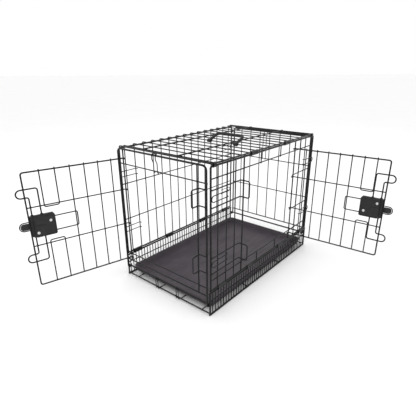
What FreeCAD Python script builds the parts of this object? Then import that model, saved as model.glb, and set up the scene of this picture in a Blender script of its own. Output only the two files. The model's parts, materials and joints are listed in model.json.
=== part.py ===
import FreeCAD, Part
import math
import os

V = FreeCAD.Vector

# A folding wire dog crate, in millimetres.  The origin is on the floor under the middle of the
# crate.  The front end faces -Y, the side with the second door faces +X, and +Z is up.

# ---- driving dimensions ----
LENGTH = 560.0
WIDTH = 343.0
PITCH = 0.0636 * LENGTH

FRAME_R = 2.6        # posts, long rails and hinge wires
DOORWAY_R = 2.0      # doorway wires, door frames
MESH_R = 1.6         # welded mesh
SKIRT_R = 1.4        # close bars of the floor skirt
CLIP_R = 1.25        # hairpin clips
BOLT_R = 1.9         # bolt wires of the latches
BORDER_R = 2.2       # border of the top panel
KEEPER_R = 1.7       # keeper hoops beside the doorways
LOOP_R = 1.4         # wire loop round the tongue of a latch
LOWER_R = 1.8        # low cross wires at the two ends of the base
SINK = 0.1           # how far a welded wire sinks into its neighbour
SLACK = 0.5          # running clearance of a wire that turns on another

SIDE_X = WIDTH / 2 - FRAME_R
SIDE_Y = 268.8                # posts of the sides, clear of the rails of the ends
END_Y = LENGTH / 2 - FRAME_R
FRONT_POST_X = SIDE_X - 5.7   # beside the posts of the sides
BACK_POST_X = SIDE_X - 8.2    # folds in past the hinge curls of the side door
BASE_Y = END_Y - (2 * FRAME_R + 0.4)

SKIRT_TOP = 68.0
SKIRT_MIDDLE = 42.6   # rail half-way up a skirt
SKIRT_BARS = 45
SKIRT_RUN = 526.0     # from the first bar of a skirt to the last
FLOOR_LONG_X = (-122.8, -25.9, 60.9, 140.0)
FLOOR_CROSS_Y = (-95.0, 95.0)
SIDE_HINGE_Z = 75.0
SIDE_TOP = 407.0
BORDER_Z = SIDE_TOP + 5.5
CROSS_Z = SIDE_TOP + 4.8
FRONT_TOP = 409.5
BACK_TOP = 404.0
FRONT_HINGE_Z = 34.0
BACK_HINGE_Z = 50.0
LOWER_Z = 6.2

FRONT_OPEN = 103.9   # how far each door stands open, in degrees
SIDE_OPEN = 93.4

parts = {}


def add(node, *solids):
    """Put solids into the node of that name."""
    parts.setdefault(node, []).extend(solids)


def rod(start, end, radius):
    """A straight round wire."""
    run = end - start
    return Part.makeCylinder(radius, run.Length, start, run)


def centre_line(points, bends):
    """Edges through the points, each inner corner rounded to its bend radius."""
    edges = []
    last = points[0]
    for i in range(1, len(points) - 1):
        corner = points[i]
        into = (corner - points[i - 1]).normalize()
        out = (points[i + 1] - corner).normalize()
        half = into.getAngle(out) / 2
        reach = bends[i - 1] * math.tan(half)
        start = corner - into * reach
        end = corner + out * reach
        inward = (out - into).normalize()
        centre = corner + inward * (bends[i - 1] / math.cos(half))
        middle = centre - inward * bends[i - 1]
        if (start - last).Length > 0.001:
            edges.append(Part.makeLine(last, start))
        edges.append(Part.Arc(start, middle, end).toShape())
        last = end
    if (points[-1] - last).Length > 0.001:
        edges.append(Part.makeLine(last, points[-1]))
    return edges


def bent(points, bends, radius):
    """A round wire along the points.  `bends` is one bend radius, or one for each inner corner."""
    if not isinstance(bends, (list, tuple)):
        bends = [bends] * (len(points) - 2)
    path = Part.Wire(centre_line(points, bends))
    ring = Part.Wire(Part.makeCircle(radius, points[0], points[1] - points[0]))
    return path.makePipeShell([ring], True, False)


def sleeve(x, z_low, z_high, middle_y, length):
    """A crimped sheet sleeve round two parallel wires along Y, one above the other."""
    def obround(radius):
        low = V(x, middle_y - length / 2, z_low)
        high = V(x, middle_y - length / 2, z_high)
        side = V(radius, 0, 0)
        edges = [
            Part.makeLine(low + side, high + side),
            Part.Arc(high + side, high + V(0, 0, radius), high - side).toShape(),
            Part.makeLine(high - side, low - side),
            Part.Arc(low - side, low - V(0, 0, radius), low + side).toShape(),
        ]
        return Part.Face(Part.Wire(edges)).extrude(V(0, length, 0))
    return obround(SLEEVE_R).cut(obround(FRAME_R + SLACK))


def upright_y(k):
    """Where upright number k of a long panel stands, counted from the front."""
    return -LENGTH / 2 + 0.055 * LENGTH + k * PITCH


def near_y(k):
    """The same on the near side, whose uprights before the doorway stand a little further back."""
    return upright_y(k) + (NEAR_SHIFT if k <= DOORWAY_FIRST else 0.0)


def sleeve_places(place):
    """Half-way between two uprights, so that no upright meets a sleeve."""
    return [(place(k) + place(k + 1)) / 2 for k in (0, 4, 9, 13)]


UPRIGHTS = range(15)
DOORWAY_FIRST = 3
DOORWAY_LAST = 11
NEAR_SHIFT = 6.5
FAR_SLEEVES = sleeve_places(upright_y)
NEAR_SLEEVES = sleeve_places(near_y)
SLEEVE_LENGTH = 30.0
SLEEVE_R = FRAME_R + 1.4      # outer radius of a sleeve
CLIP_HEIGHTS = (152.0, 328.0)
FLUSH = FRAME_R - MESH_R      # brings the mesh level with the outer face of the posts
BUTT = FRAME_R - 0.08         # where an upright meets a thick wire, from that wire's centre


# ---- base: floor frame, skirts and the fixed front end ----
def build_base():
    for side in (-1, 1):
        x = side * SIDE_X
        sleeves = NEAR_SLEEVES if side > 0 else FAR_SLEEVES
        for y in (-BASE_Y, BASE_Y):
            foot = V(x, y, FRAME_R + BUTT)
            add("base_corner_posts", rod(foot, V(x, y, SKIRT_TOP - BUTT), FRAME_R))
        for z in (FRAME_R, SKIRT_TOP):
            add("skirt_rails", rod(V(x, -BASE_Y - FRAME_R, z), V(x, BASE_Y + FRAME_R, z), FRAME_R))
        bar_x = side * (SIDE_X + FRAME_R - SKIRT_R)
        rail_x = bar_x - side * (SKIRT_R + MESH_R - SINK)
        end = BASE_Y - FRAME_R + SINK
        add("skirt_rails", rod(V(rail_x, -end, SKIRT_MIDDLE), V(rail_x, end, SKIRT_MIDDLE), MESH_R))
        node = "near_skirt_bars" if side > 0 else "far_skirt_bars"
        for k in range(SKIRT_BARS):
            y = SKIRT_RUN * (k / (SKIRT_BARS - 1) - 0.5)
            under_sleeve = any(abs(y - s) < SLEEVE_LENGTH / 2 + SKIRT_R + 0.3 for s in sleeves)
            top = SKIRT_TOP - (SLEEVE_R + SINK if under_sleeve else BUTT)
            add(node, rod(V(bar_x, y, FRAME_R + BUTT), V(bar_x, y, top), SKIRT_R))
        for y in sleeves:
            add("skirt_sleeves", sleeve(x, SKIRT_TOP, SIDE_HINGE_Z, y, SLEEVE_LENGTH))
    reach = SIDE_X - FRAME_R + SINK
    for y, hinge_z in ((-BASE_Y, FRONT_HINGE_Z), (BASE_Y, BACK_HINGE_Z)):
        add("base_end_wires", rod(V(-reach, y, LOWER_Z), V(reach, y, LOWER_Z), LOWER_R))
        add("base_end_wires", rod(V(-reach, y, hinge_z), V(reach, y, hinge_z), FRAME_R))
    floor_z = LOWER_Z + 0.3
    floor_end = BASE_Y - LOWER_R + 0.2
    for x in FLOOR_LONG_X:
        add("floor_wires", rod(V(x, -floor_end, floor_z), V(x, floor_end, floor_z), MESH_R))
    cross_z = floor_z - 2 * MESH_R + SINK
    for y in FLOOR_CROSS_Y:
        add("floor_wires", rod(V(-reach, y, cross_z), V(reach, y, cross_z), MESH_R))


END_CORNER = 12.0


def end_frame(sign, post_x, top, hinge_z):
    """Inverted U of an end panel, whose two legs curl round the hinge wire of the base."""
    curl = 2 * FRAME_R + 0.4
    y = sign * END_Y
    inner = sign * (BASE_Y - curl)
    low = hinge_z - curl
    left = [V(-post_x, inner, hinge_z + 1.5), V(-post_x, inner, low), V(-post_x, y, low)]
    right = [V(post_x, p.y, p.z) for p in reversed(left)]
    points = left + [V(-post_x, y, top), V(post_x, y, top)] + right
    return bent(points, [curl, curl, END_CORNER, END_CORNER, curl, curl], FRAME_R)


FRONT_RAIL_Y = -END_Y + FRAME_R + MESH_R - SINK
FRONT_WIRE_Y = -END_Y + FRAME_R - DOORWAY_R
FRONT_HINGE_X = -WIDTH / 2 + 0.0525 * LENGTH
FRONT_FREE_X = -WIDTH / 2 + 0.546 * LENGTH
FRONT_BOTTOM = 61.6
FRONT_DOORWAY = (81.8, 366.3)


def build_front_end():
    add("front_frame", end_frame(-1, FRONT_POST_X, FRONT_TOP, FRONT_HINGE_Z))
    reach = FRONT_POST_X - FRAME_R + SINK
    y = -END_Y
    add("front_rails", rod(V(-reach, y, FRONT_BOTTOM), V(reach, y, FRONT_BOTTOM), DOORWAY_R))
    for z in FRONT_DOORWAY:
        rail = rod(V(-FRONT_POST_X, FRONT_RAIL_Y, z), V(FRONT_POST_X, FRONT_RAIL_Y, z), MESH_R)
        add("front_rails", rail)
    low = FRONT_BOTTOM + DOORWAY_R - SINK
    high = FRONT_TOP - FRAME_R + SINK
    for x in (FRONT_HINGE_X, FRONT_FREE_X):
        add("front_doorway_wires", rod(V(x, FRONT_WIRE_Y, low), V(x, FRONT_WIRE_Y, high), DOORWAY_R))


# ---- the two long sides ----
SHORT_UPRIGHTS = (0.404 * LENGTH - LENGTH / 2, 0.594 * LENGTH - LENGTH / 2)
SIDE_DOORWAY = (102.5, 375.8)
NEAR_SHORT_RAILS = (180.5, 297.4)     # behind the doorway, clear of the door's hinge curls
FAR_RAILS = (185.4, 297.4)
SIDE_WIRE_X = SIDE_X + FLUSH - MESH_R + DOORWAY_R


def side_frame(side):
    """Posts and top wire in one piece, and the bottom wire that turns in the sleeves."""
    x = side * SIDE_X
    low = SIDE_HINGE_Z + BUTT
    hoop = bent(
        [V(x, -SIDE_Y, low), V(x, -SIDE_Y, SIDE_TOP), V(x, SIDE_Y, SIDE_TOP), V(x, SIDE_Y, low)],
        5.0, FRAME_R)
    end = SIDE_Y + FRAME_R - 0.2
    hinge = rod(V(x, -end, SIDE_HINGE_Z), V(x, end, SIDE_HINGE_Z), FRAME_R)
    return hoop, hinge


def build_near_side():
    add("near_frame", *side_frame(1))
    x = SIDE_X + FLUSH
    low = SIDE_HINGE_Z + BUTT
    high = SIDE_TOP - BUTT
    rail_x = x - 2 * MESH_R + SINK
    rail_end = SIDE_Y - FRAME_R + SINK
    for z in SIDE_DOORWAY:
        add("near_rails", rod(V(rail_x, -rail_end, z), V(rail_x, rail_end, z), MESH_R))
    for z in NEAR_SHORT_RAILS:
        add("near_rails", rod(V(rail_x, near_y(DOORWAY_LAST), z), V(rail_x, rail_end, z), MESH_R))
    for k in UPRIGHTS:
        y = near_y(k)
        if k in (DOORWAY_FIRST, DOORWAY_LAST):
            add("near_doorway_wires", rod(V(SIDE_WIRE_X, y, low), V(SIDE_WIRE_X, y, high), DOORWAY_R))
        elif not DOORWAY_FIRST < k < DOORWAY_LAST:
            add("near_uprights", rod(V(x, y, low), V(x, y, high), MESH_R))
    for y in SHORT_UPRIGHTS:
        add("near_uprights", rod(V(x, y, low), V(x, y, SIDE_DOORWAY[0] + MESH_R), MESH_R))
        add("near_uprights", rod(V(x, y, SIDE_DOORWAY[1] - MESH_R), V(x, y, high), MESH_R))


def build_far_side():
    add("far_frame", *side_frame(-1))
    x = -SIDE_X - FLUSH
    rail_x = x - 2 * MESH_R + SINK
    for z in FAR_RAILS:
        add("far_rails", rod(V(rail_x, -SIDE_Y, z), V(rail_x, SIDE_Y, z), MESH_R))
    for k in UPRIGHTS:
        y = upright_y(k)
        add("far_uprights", rod(V(x, y, SIDE_HINGE_Z + BUTT), V(x, y, SIDE_TOP - BUTT), MESH_R))


# ---- top panel ----
LONG_WIRES_X = (-WIDTH / 2 + 0.176 * LENGTH, -WIDTH / 2 + 0.408 * LENGTH)
TOP_END_Y = 263.0
END_SLEEVE_LENGTH = 9.0
END_SLEEVE_Y = TOP_END_Y - BORDER_R - END_SLEEVE_LENGTH / 2 - 0.4


def hook_round_far_wire(y, z, radius, near_x):
    """A wire along X that ends in a hook round the top wire of the far side."""
    curl = z - SIDE_TOP
    outer = -SIDE_X - curl
    return bent([V(near_x, y, z), V(outer, y, z), V(outer, y, SIDE_TOP - 1.5)], curl, radius)


def build_top():
    tip = TOP_END_Y + BORDER_R
    add("top_border", rod(V(SIDE_X, -tip, BORDER_Z), V(SIDE_X, tip, BORDER_Z), BORDER_R))
    near_x = SIDE_X - BORDER_R + SINK
    for y in (-TOP_END_Y, TOP_END_Y):
        add("top_border", hook_round_far_wire(y, BORDER_Z, BORDER_R - 0.2, near_x))
    for k in UPRIGHTS:
        add("top_cross_wires", hook_round_far_wire(upright_y(k), CROSS_Z, MESH_R, near_x))
    z = CROSS_Z + MESH_R + DOORWAY_R - SINK
    long_end = TOP_END_Y - BORDER_R
    for x in LONG_WIRES_X:
        add("top_long_wires", rod(V(x, -long_end, z), V(x, long_end, z), DOORWAY_R))
    for y in FAR_SLEEVES[1:3]:
        add("top_sleeves", sleeve(SIDE_X, SIDE_TOP, BORDER_Z, y, SLEEVE_LENGTH))
    for y in (-END_SLEEVE_Y, END_SLEEVE_Y):
        add("top_sleeves", sleeve(SIDE_X, SIDE_TOP, BORDER_Z, y, END_SLEEVE_LENGTH))


# ---- back end, which folds in ----
BACK_RAILS = (187.6, 301.6)
BACK_BOTTOM = 67.0


def build_back_end():
    add("back_frame", end_frame(1, BACK_POST_X, BACK_TOP, BACK_HINGE_Z))
    reach = BACK_POST_X - FRAME_R + SINK
    add("back_frame", rod(V(-reach, END_Y, BACK_BOTTOM), V(reach, END_Y, BACK_BOTTOM), DOORWAY_R))
    y = END_Y - FRAME_R + MESH_R
    rail_y = y - 2 * MESH_R + SINK
    for z in BACK_RAILS:
        add("back_rails", rod(V(-reach, rail_y, z), V(reach, rail_y, z), MESH_R))
    for k in range(7):
        x = -WIDTH / 2 + (0.0846 + 0.0738 * k) * LENGTH
        low = BACK_BOTTOM + DOORWAY_R - 0.3
        add("back_uprights", rod(V(x, y, low), V(x, y, BACK_TOP - BUTT), MESH_R))


# ---- doors and their slide latches ----
FRONT_DOOR_WIDTH = 264.2
FRONT_DOOR_Z = (70.0, 382.5)
FRONT_DOOR_RAILS = (185.4, 291.5)
FRONT_LATCH_Z = 237.7
SIDE_DOOR_WIDTH = 275.7
SIDE_DOOR_Z = (95.2, 382.5)
SIDE_DOOR_RAILS = (186.0, 292.0)
SIDE_LATCH_Z = 240.0
LATCH_INSET = 32.2            # from a door's free edge to the middle of its latch
DOOR_CORNER = 6.0
SHORT_BAR_GAP = 6.0           # from the closed end of a short pair to the rail
GUIDE_W = 20.0                # half the width of the guide loop behind a latch
GUIDE_S = -7.0                # where the guide loop ends under the latch
DOOR_FRAME_N = DOORWAY_R + SLACK + DOORWAY_R
DOOR_RAIL_N = DOOR_FRAME_N + DOORWAY_R - MESH_R - 0.1
DOOR_BAR_N = DOOR_FRAME_N + DOORWAY_R + MESH_R - SINK
BOLT_N = 12.2


class DoorFrame:
    """Places points of a door: u from the hinge, n outwards, z up."""

    def __init__(self, hinge, u, n, z_sign):
        self.hinge = hinge
        self.u = u
        self.n = n
        self.z_sign = z_sign
        self.latch_u = 0.0
        self.latch_z = 0.0

    def at(self, u, n, z):
        return self.hinge + self.u * u + self.n * n + V(0, 0, z)

    def latch(self, s, w, n):
        """A point of the latch: s towards the free edge, w across, n outwards."""
        return self.at(self.latch_u + s, n, self.latch_z + self.z_sign * w)


def turned(vector, degrees):
    """The vector turned about +Z."""
    cos = math.cos(math.radians(degrees))
    sin = math.sin(math.radians(degrees))
    return V(vector.x * cos - vector.y * sin, vector.x * sin + vector.y * cos, 0)


def hinge_curl(door, n, z):
    """Points of a wire that goes round the hinge wire, ending where the wire runs on along the door."""
    return [door.at(1.0, -n, z), door.at(-n, -n, z), door.at(-n, n, z)]


def build_door(name, door, width, heights, rails, bars):
    """A bent frame with rails and bars; the last two bars are short pairs above and below the latch."""
    low, high = heights
    uprights, (left, right) = bars[:-2], bars[-2:]
    curl = hinge_curl(door, DOOR_FRAME_N, high)
    tail = [V(p.x, p.y, p.z - high + low) for p in reversed(curl)]
    outline = curl + [door.at(width, DOOR_FRAME_N, high), door.at(width, DOOR_FRAME_N, low)] + tail
    bends = [DOOR_FRAME_N, DOOR_FRAME_N, DOOR_CORNER, DOOR_CORNER, DOOR_FRAME_N, DOOR_FRAME_N]
    add(name + "_frame", bent(outline, bends, DOORWAY_R))
    for z in rails:
        points = hinge_curl(door, DOOR_RAIL_N, z) + [door.at(width - DOORWAY_R + SINK, DOOR_RAIL_N, z)]
        add(name + "_rails", bent(points, DOOR_RAIL_N, MESH_R))
    bar_low = low - DOORWAY_R - 0.5
    bar_high = high + DOORWAY_R + 0.5
    for u in uprights:
        add(name + "_bars", rod(door.at(u, DOOR_BAR_N, bar_low), door.at(u, DOOR_BAR_N, bar_high), MESH_R))
    for edge, stop in ((bar_high, rails[1] - SHORT_BAR_GAP), (bar_low, rails[0] + SHORT_BAR_GAP)):
        points = [door.at(left, DOOR_BAR_N, edge), door.at(left, DOOR_BAR_N, stop),
                  door.at(right, DOOR_BAR_N, stop), door.at(right, DOOR_BAR_N, edge)]
        add(name + "_short_bars", bent(points, 5.0, MESH_R))
    n = DOOR_BAR_N - 2 * MESH_R + SINK
    start = uprights[-1] - 3.4 - door.latch_u
    points = [door.latch(GUIDE_S, GUIDE_W, n), door.latch(start, GUIDE_W, n),
              door.latch(start, -GUIDE_W, n), door.latch(GUIDE_S, -GUIDE_W, n)]
    add(name + "_latch_guide", bent(points, 4.0, MESH_R))


COVER_LOW_N = 7.1
COVER_HIGH_N = 17.0
HOUSING_S = 30.8
HOUSING_W = 28.8
HOUSING_CORNER = 4.0
PLATE_N = (-0.2, 2.0)
PLATE_EDGE_S = 22.5
RIVETS = ((-18.6, 11.7), (15.0, -16.3))
SHANK_R = 2.2
RIVET_HEAD_R = 4.0
RIVET_HEAD = 1.3
BOLT_BACK_S = -1.0            # the two legs of a bolt where they leave the cover
BOLT_FRONT_S = 22.0
BOLT_OUTER_W = 100.3          # the two runs of a bolt that pass the door's edge
BOLT_INNER_W = 78.5
BOLT_TIP_S = 51.8
TONGUE_W = (-6.4, 10.8)
TONGUE_N = (9.0, 14.0)
TONGUE_TIP_S = 53.5
LOOP_W = (-9.2, 13.6)
LOOP_TIP_S = 57.2


def latch_slab(door, s_range, w_range, n_range, corner):
    """A plate of the latch with rounded corners, between two depths n."""
    s0, s1 = s_range
    w0, w1 = w_range
    middle = (s0 + s1) / 2
    loop = [(middle, w0), (s1, w0), (s1, w1), (s0, w1), (s0, w0), (middle, w0)]
    points = [door.latch(s, w, n_range[0]) for s, w in loop]
    face = Part.Face(Part.Wire(centre_line(points, [corner] * 4)))
    return face.extrude(door.n * (n_range[1] - n_range[0]))


def build_latch(name, door):
    housing_s = (-HOUSING_S, HOUSING_S)
    housing_w = (-HOUSING_W, HOUSING_W)
    cover = latch_slab(door, housing_s, housing_w, (COVER_LOW_N, COVER_HIGH_N), HOUSING_CORNER)
    grip = latch_slab(door, (-6.0, 24.0), (-6.0, 6.0), (COVER_HIGH_N - 1.0, COVER_HIGH_N + 7.0), 5.9)
    add(name + "_cover", cover.fuse(grip).removeSplitter())
    plate = latch_slab(door, (-HOUSING_S, PLATE_EDGE_S), housing_w, PLATE_N, HOUSING_CORNER)
    foot_n = PLATE_N[0]
    for s, w in RIVETS:
        plate = plate.cut(Part.makeCylinder(SHANK_R + 0.05, 8.0, door.latch(s, w, foot_n - 2.0), door.n))
        shank = Part.makeCylinder(SHANK_R, COVER_LOW_N - foot_n, door.latch(s, w, foot_n), door.n)
        head = Part.makeCylinder(RIVET_HEAD_R, RIVET_HEAD, door.latch(s, w, foot_n - RIVET_HEAD), door.n)
        add(name + "_rivets", shank.fuse(head).removeSplitter())
    add(name + "_back_plate", plate)
    tip = BOLT_TIP_S - BOLT_R
    for sign in (-1, 1):
        base = sign * (HOUSING_W - SINK)
        outer = sign * BOLT_OUTER_W
        inner = sign * BOLT_INNER_W
        corners = ((BOLT_BACK_S, base), (BOLT_BACK_S, outer), (tip, outer),
                   (tip, inner), (BOLT_FRONT_S, inner), (BOLT_FRONT_S, base))
        points = [door.latch(s, w, BOLT_N) for s, w in corners]
        add(name + "_bolt_wires", bent(points, [6.0, 10.8, 10.8, 5.0], BOLT_R))
    tongue = latch_slab(door, (HOUSING_S, TONGUE_TIP_S), TONGUE_W, TONGUE_N, 8.5)
    square = latch_slab(door, (HOUSING_S, 42.0), TONGUE_W, TONGUE_N, 0.5)
    add(name + "_tongue", tongue.fuse(square).removeSplitter())
    foot = HOUSING_S - 0.03
    loop_tip = LOOP_TIP_S - LOOP_R
    low, high = LOOP_W
    corners = ((foot, low), (loop_tip, low), (loop_tip, high), (foot, high))
    points = [door.latch(s, w, BOLT_N) for s, w in corners]
    add(name + "_bolt_wires", bent(points, 11.3, LOOP_R))


def keeper(along, out, start, turn, reach, low, high):
    """A hoop welded along a panel that turns outwards beside the doorway to hold a bolt."""
    points = []
    for z in (low, high):
        foot = V(start.x, start.y, z)
        leg = [foot, foot + along * turn, foot + along * turn + out * reach]
        points += leg if z == low else list(reversed(leg))
    return bent(points, 5.0, KEEPER_R)


KEEPER_OUT = 30.5             # from the doorway wires to the outer bar of a keeper
FRONT_KEEPER_U = 284.8        # from a door's hinge to its keepers, beyond the sweep of the bolts
FRONT_KEEPER_Z = ((133.0, 179.2), (310.3, 354.0))
SIDE_KEEPER_U = 296.3
SIDE_KEEPER_Z = ((127.2, 172.5), (306.4, 350.6))


def build_doors():
    front_hinge = V(FRONT_HINGE_X, FRONT_WIRE_Y, 0)
    front = DoorFrame(front_hinge, turned(V(1, 0, 0), -FRONT_OPEN), turned(V(0, -1, 0), -FRONT_OPEN), 1)
    front.latch_u = FRONT_DOOR_WIDTH - LATCH_INSET
    front.latch_z = FRONT_LATCH_Z
    bars = [(0.0605 + 0.067 * k) * LENGTH for k in range(6)]
    build_door("front_door", front, FRONT_DOOR_WIDTH, FRONT_DOOR_Z, FRONT_DOOR_RAILS, bars)
    build_latch("front_latch", front)
    side_hinge = V(SIDE_WIRE_X, upright_y(DOORWAY_LAST), 0)
    side = DoorFrame(side_hinge, turned(V(0, -1, 0), SIDE_OPEN), turned(V(1, 0, 0), SIDE_OPEN), -1)
    side.latch_u = SIDE_DOOR_WIDTH - LATCH_INSET
    side.latch_z = SIDE_LATCH_Z
    bars = [0.0615 * LENGTH * k for k in range(1, 8)]
    build_door("side_door", side, SIDE_DOOR_WIDTH, SIDE_DOOR_Z, SIDE_DOOR_RAILS, bars)
    build_latch("side_latch", side)


def build_keepers():
    y = -END_Y - FRAME_R - KEEPER_R + SINK
    start = V(FRONT_POST_X + 1.5, y, 0)
    turn = start.x - (FRONT_HINGE_X + FRONT_KEEPER_U)
    reach = y - (FRONT_WIRE_Y - KEEPER_OUT)
    for low, high in FRONT_KEEPER_Z:
        add("front_keepers", keeper(V(-1, 0, 0), V(0, -1, 0), start, turn, reach, low, high))
    x = SIDE_X + FRAME_R + KEEPER_R - SINK
    start = V(x, -SIDE_Y - 1.0, 0)
    turn = upright_y(DOORWAY_LAST) - SIDE_KEEPER_U - start.y
    reach = SIDE_WIRE_X + KEEPER_OUT - x
    for low, high in SIDE_KEEPER_Z:
        add("near_keepers", keeper(V(0, 1, 0), V(1, 0, 0), start, turn, reach, low, high))


# ---- hairpin clips at the corners and hooks at the middle of the ends ----
CLIP_HALF = 8.0
HOOK_HALF = 6.75
FRONT_HOOK_X = -9.5
BACK_HOOK_X = -21.0


def corner_clip(side, end, height):
    """A hairpin that swings on the second upright of a side and closes over the corner post."""
    curl = MESH_R + SLACK + CLIP_R
    x = side * (SIDE_X + FLUSH)
    place = near_y if side > 0 else upright_y
    pivot_y = place(1) if end < 0 else place(13)
    outer = x + side * curl
    back_y = pivot_y - end * curl
    tip_y = end * (SIDE_Y + 1.2)
    half = CLIP_HALF
    low = height - half
    high = height + half
    points = [V(x - side * curl, back_y, low), V(outer, back_y, low), V(outer, tip_y, low),
              V(outer, tip_y, high), V(outer, back_y, high), V(x - side * curl, back_y, high)]
    return bent(points, [curl, half - 0.1, half - 0.1, curl], CLIP_R)


def top_hook(sign, rail_z, top_z, middle_x):
    """A hairpin that swings on a rail of an end panel and closes over its top wire."""
    curl = MESH_R + 0.4 + CLIP_R
    over = FRAME_R + 0.4 + CLIP_R
    rail_y = sign * -FRONT_RAIL_Y
    leg_y = rail_y + sign * curl
    out_y = sign * (END_Y + over)

    def leg(x):
        return [V(x, rail_y - sign * 0.4, rail_z - curl), V(x, leg_y, rail_z - curl),
                V(x, leg_y, top_z - 21.0), V(x, out_y, top_z - 10.0),
                V(x, out_y, top_z + over), V(x, sign * (END_Y - 1.5), top_z + over)]
    bends = [curl, 6.0, 6.0, over, 1.6, 1.6, over, 6.0, 6.0, curl]
    return bent(leg(middle_x - HOOK_HALF) + leg(middle_x + HOOK_HALF)[::-1], bends, CLIP_R)


def build_clips():
    for side, side_name in ((1, "near"), (-1, "far")):
        for end, end_name in ((-1, "front"), (1, "rear")):
            for height, height_name in zip(CLIP_HEIGHTS, ("low", "high")):
                node = side_name + "_" + end_name + "_" + height_name + "_clip"
                add(node, corner_clip(side, end, height))
    add("front_top_hook", top_hook(-1, FRONT_DOORWAY[1], FRONT_TOP, FRONT_HOOK_X))
    add("back_top_hook", top_hook(1, BACK_RAILS[1], BACK_TOP, BACK_HOOK_X))


# ---- floor pan, its two stops, and the carrying handle ----
PAN_HALF_X = 162.5
PAN_FRONT = -261.0
PAN_BACK = 264.0
PAN_LOW = 8.5
PAN_HIGH = 30.0
PAN_WALL = 2.4
PAN_RIM = 5.0                 # how far the rim stands out from the walls
PAN_CORNER = 16.0


def tray_block(inset, low, high):
    """A block in the outline of the pan, drawn in by `inset`, with round corners."""
    x = PAN_HALF_X - inset
    length = PAN_BACK - PAN_FRONT - 2 * inset
    block = Part.makeBox(2 * x, length, high - low, V(-x, PAN_FRONT + inset, low))
    edges = [e for e in block.Edges if abs(e.tangentAt(e.FirstParameter).z) > 0.9]
    return block.makeFillet(PAN_CORNER - inset, edges)


def build_pan():
    body = tray_block(PAN_RIM, PAN_LOW, PAN_HIGH)
    rim = tray_block(0.0, PAN_HIGH - PAN_WALL, PAN_HIGH)
    hollow = tray_block(PAN_RIM + PAN_WALL, PAN_LOW + PAN_WALL, PAN_HIGH + 1.0)
    add("floor_pan", body.fuse(rim).cut(hollow).removeSplitter())


STOP_R = 1.2
STOP_HALF = 4.0
STOPS = {"left": 0.246, "right": 0.396}     # how far across the front, in lengths of the crate


def pan_stop(x):
    """A hairpin that stands in front of the pan and folds down on the low front wire."""
    curl = LOWER_R + 0.4 + STOP_R
    inner_y = -BASE_Y + curl
    outer_y = -BASE_Y - curl
    lean_y = outer_y - 0.9

    def leg(px):
        return [V(px, inner_y, LOWER_Z), V(px, inner_y, LOWER_Z - curl), V(px, outer_y, LOWER_Z - curl),
                V(px, outer_y, LOWER_Z + 6.0), V(px, lean_y, FRONT_HINGE_Z - 6.0),
                V(px, lean_y, FRONT_HINGE_Z + 8.0)]
    points = leg(x - STOP_HALF) + leg(x + STOP_HALF)[::-1]
    return bent(points, [curl, curl, 20.0, 20.0, 3.9, 3.9, 20.0, 20.0, curl, curl], STOP_R)


HANDLE_FEET = (-28.0, 70.0)
HANDLE_R = 5.0
HANDLE_BEND = 12.0
GRIP_REACH = 42.0             # the grip, from the wire that the handle turns on
GRIP_RISE = 17.0
EYE_R = 5.8
EYE_HALF = 6.2


def build_handle():
    pivot_y = upright_y(6)
    foot_y = pivot_y + 2.3
    foot_z = CROSS_Z + 1.0
    grip_y = pivot_y + GRIP_REACH
    grip_z = CROSS_Z + GRIP_RISE
    left, right = HANDLE_FEET
    points = [V(left, foot_y, foot_z), V(left, grip_y, grip_z),
              V(right, grip_y, grip_z), V(right, foot_y, foot_z)]
    bail = bent(points, HANDLE_BEND, HANDLE_R)
    along = V(1, 0, 0)
    for x in HANDLE_FEET:
        bail = bail.fuse(Part.makeCylinder(EYE_R, 2 * EYE_HALF, V(x - EYE_HALF, pivot_y, CROSS_Z), along))
    for x in HANDLE_FEET:
        hole = Part.makeCylinder(MESH_R + SLACK, 4 * EYE_HALF, V(x - 2 * EYE_HALF, pivot_y, CROSS_Z), along)
        bail = bail.cut(hole)
    add("carry_handle", bail.removeSplitter())


build_base()
build_front_end()
build_near_side()
build_far_side()
build_top()
build_back_end()
build_doors()
build_keepers()
build_clips()
build_pan()
for stop_name, stop_across in STOPS.items():
    add("pan_stop_" + stop_name, pan_stop(-WIDTH / 2 + stop_across * LENGTH))
build_handle()

os.makedirs("parts", exist_ok=True)
for node_name, node_solids in parts.items():
    shape = node_solids[0] if len(node_solids) == 1 else Part.makeCompound(node_solids)
    bad = [i for i, s in enumerate(node_solids) if not s.isValid() or s.Volume <= 0 or len(s.Solids) != 1]
    print(node_name, len(node_solids), "solids", round(shape.Volume), "mm3", "BAD" if bad else "", bad or "")
    shape.exportStep("parts/" + node_name + ".step")
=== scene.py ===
import json
import math
from itertools import combinations, product

import bmesh
import bpy
from mathutils import Matrix, Vector


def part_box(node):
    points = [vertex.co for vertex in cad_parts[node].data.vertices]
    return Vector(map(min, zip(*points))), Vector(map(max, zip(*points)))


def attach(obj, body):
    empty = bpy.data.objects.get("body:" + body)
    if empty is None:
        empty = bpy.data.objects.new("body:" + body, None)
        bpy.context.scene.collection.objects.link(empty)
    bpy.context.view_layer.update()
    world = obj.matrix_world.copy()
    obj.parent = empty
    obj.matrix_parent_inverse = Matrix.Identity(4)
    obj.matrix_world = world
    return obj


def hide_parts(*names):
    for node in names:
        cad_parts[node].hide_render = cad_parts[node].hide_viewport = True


# A folding wire dog crate.  The CAD wires stay and get their coating; the moulded pieces, the
# crimped sleeves, the weld beads and the wire ends are made here, all in metres.

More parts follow.
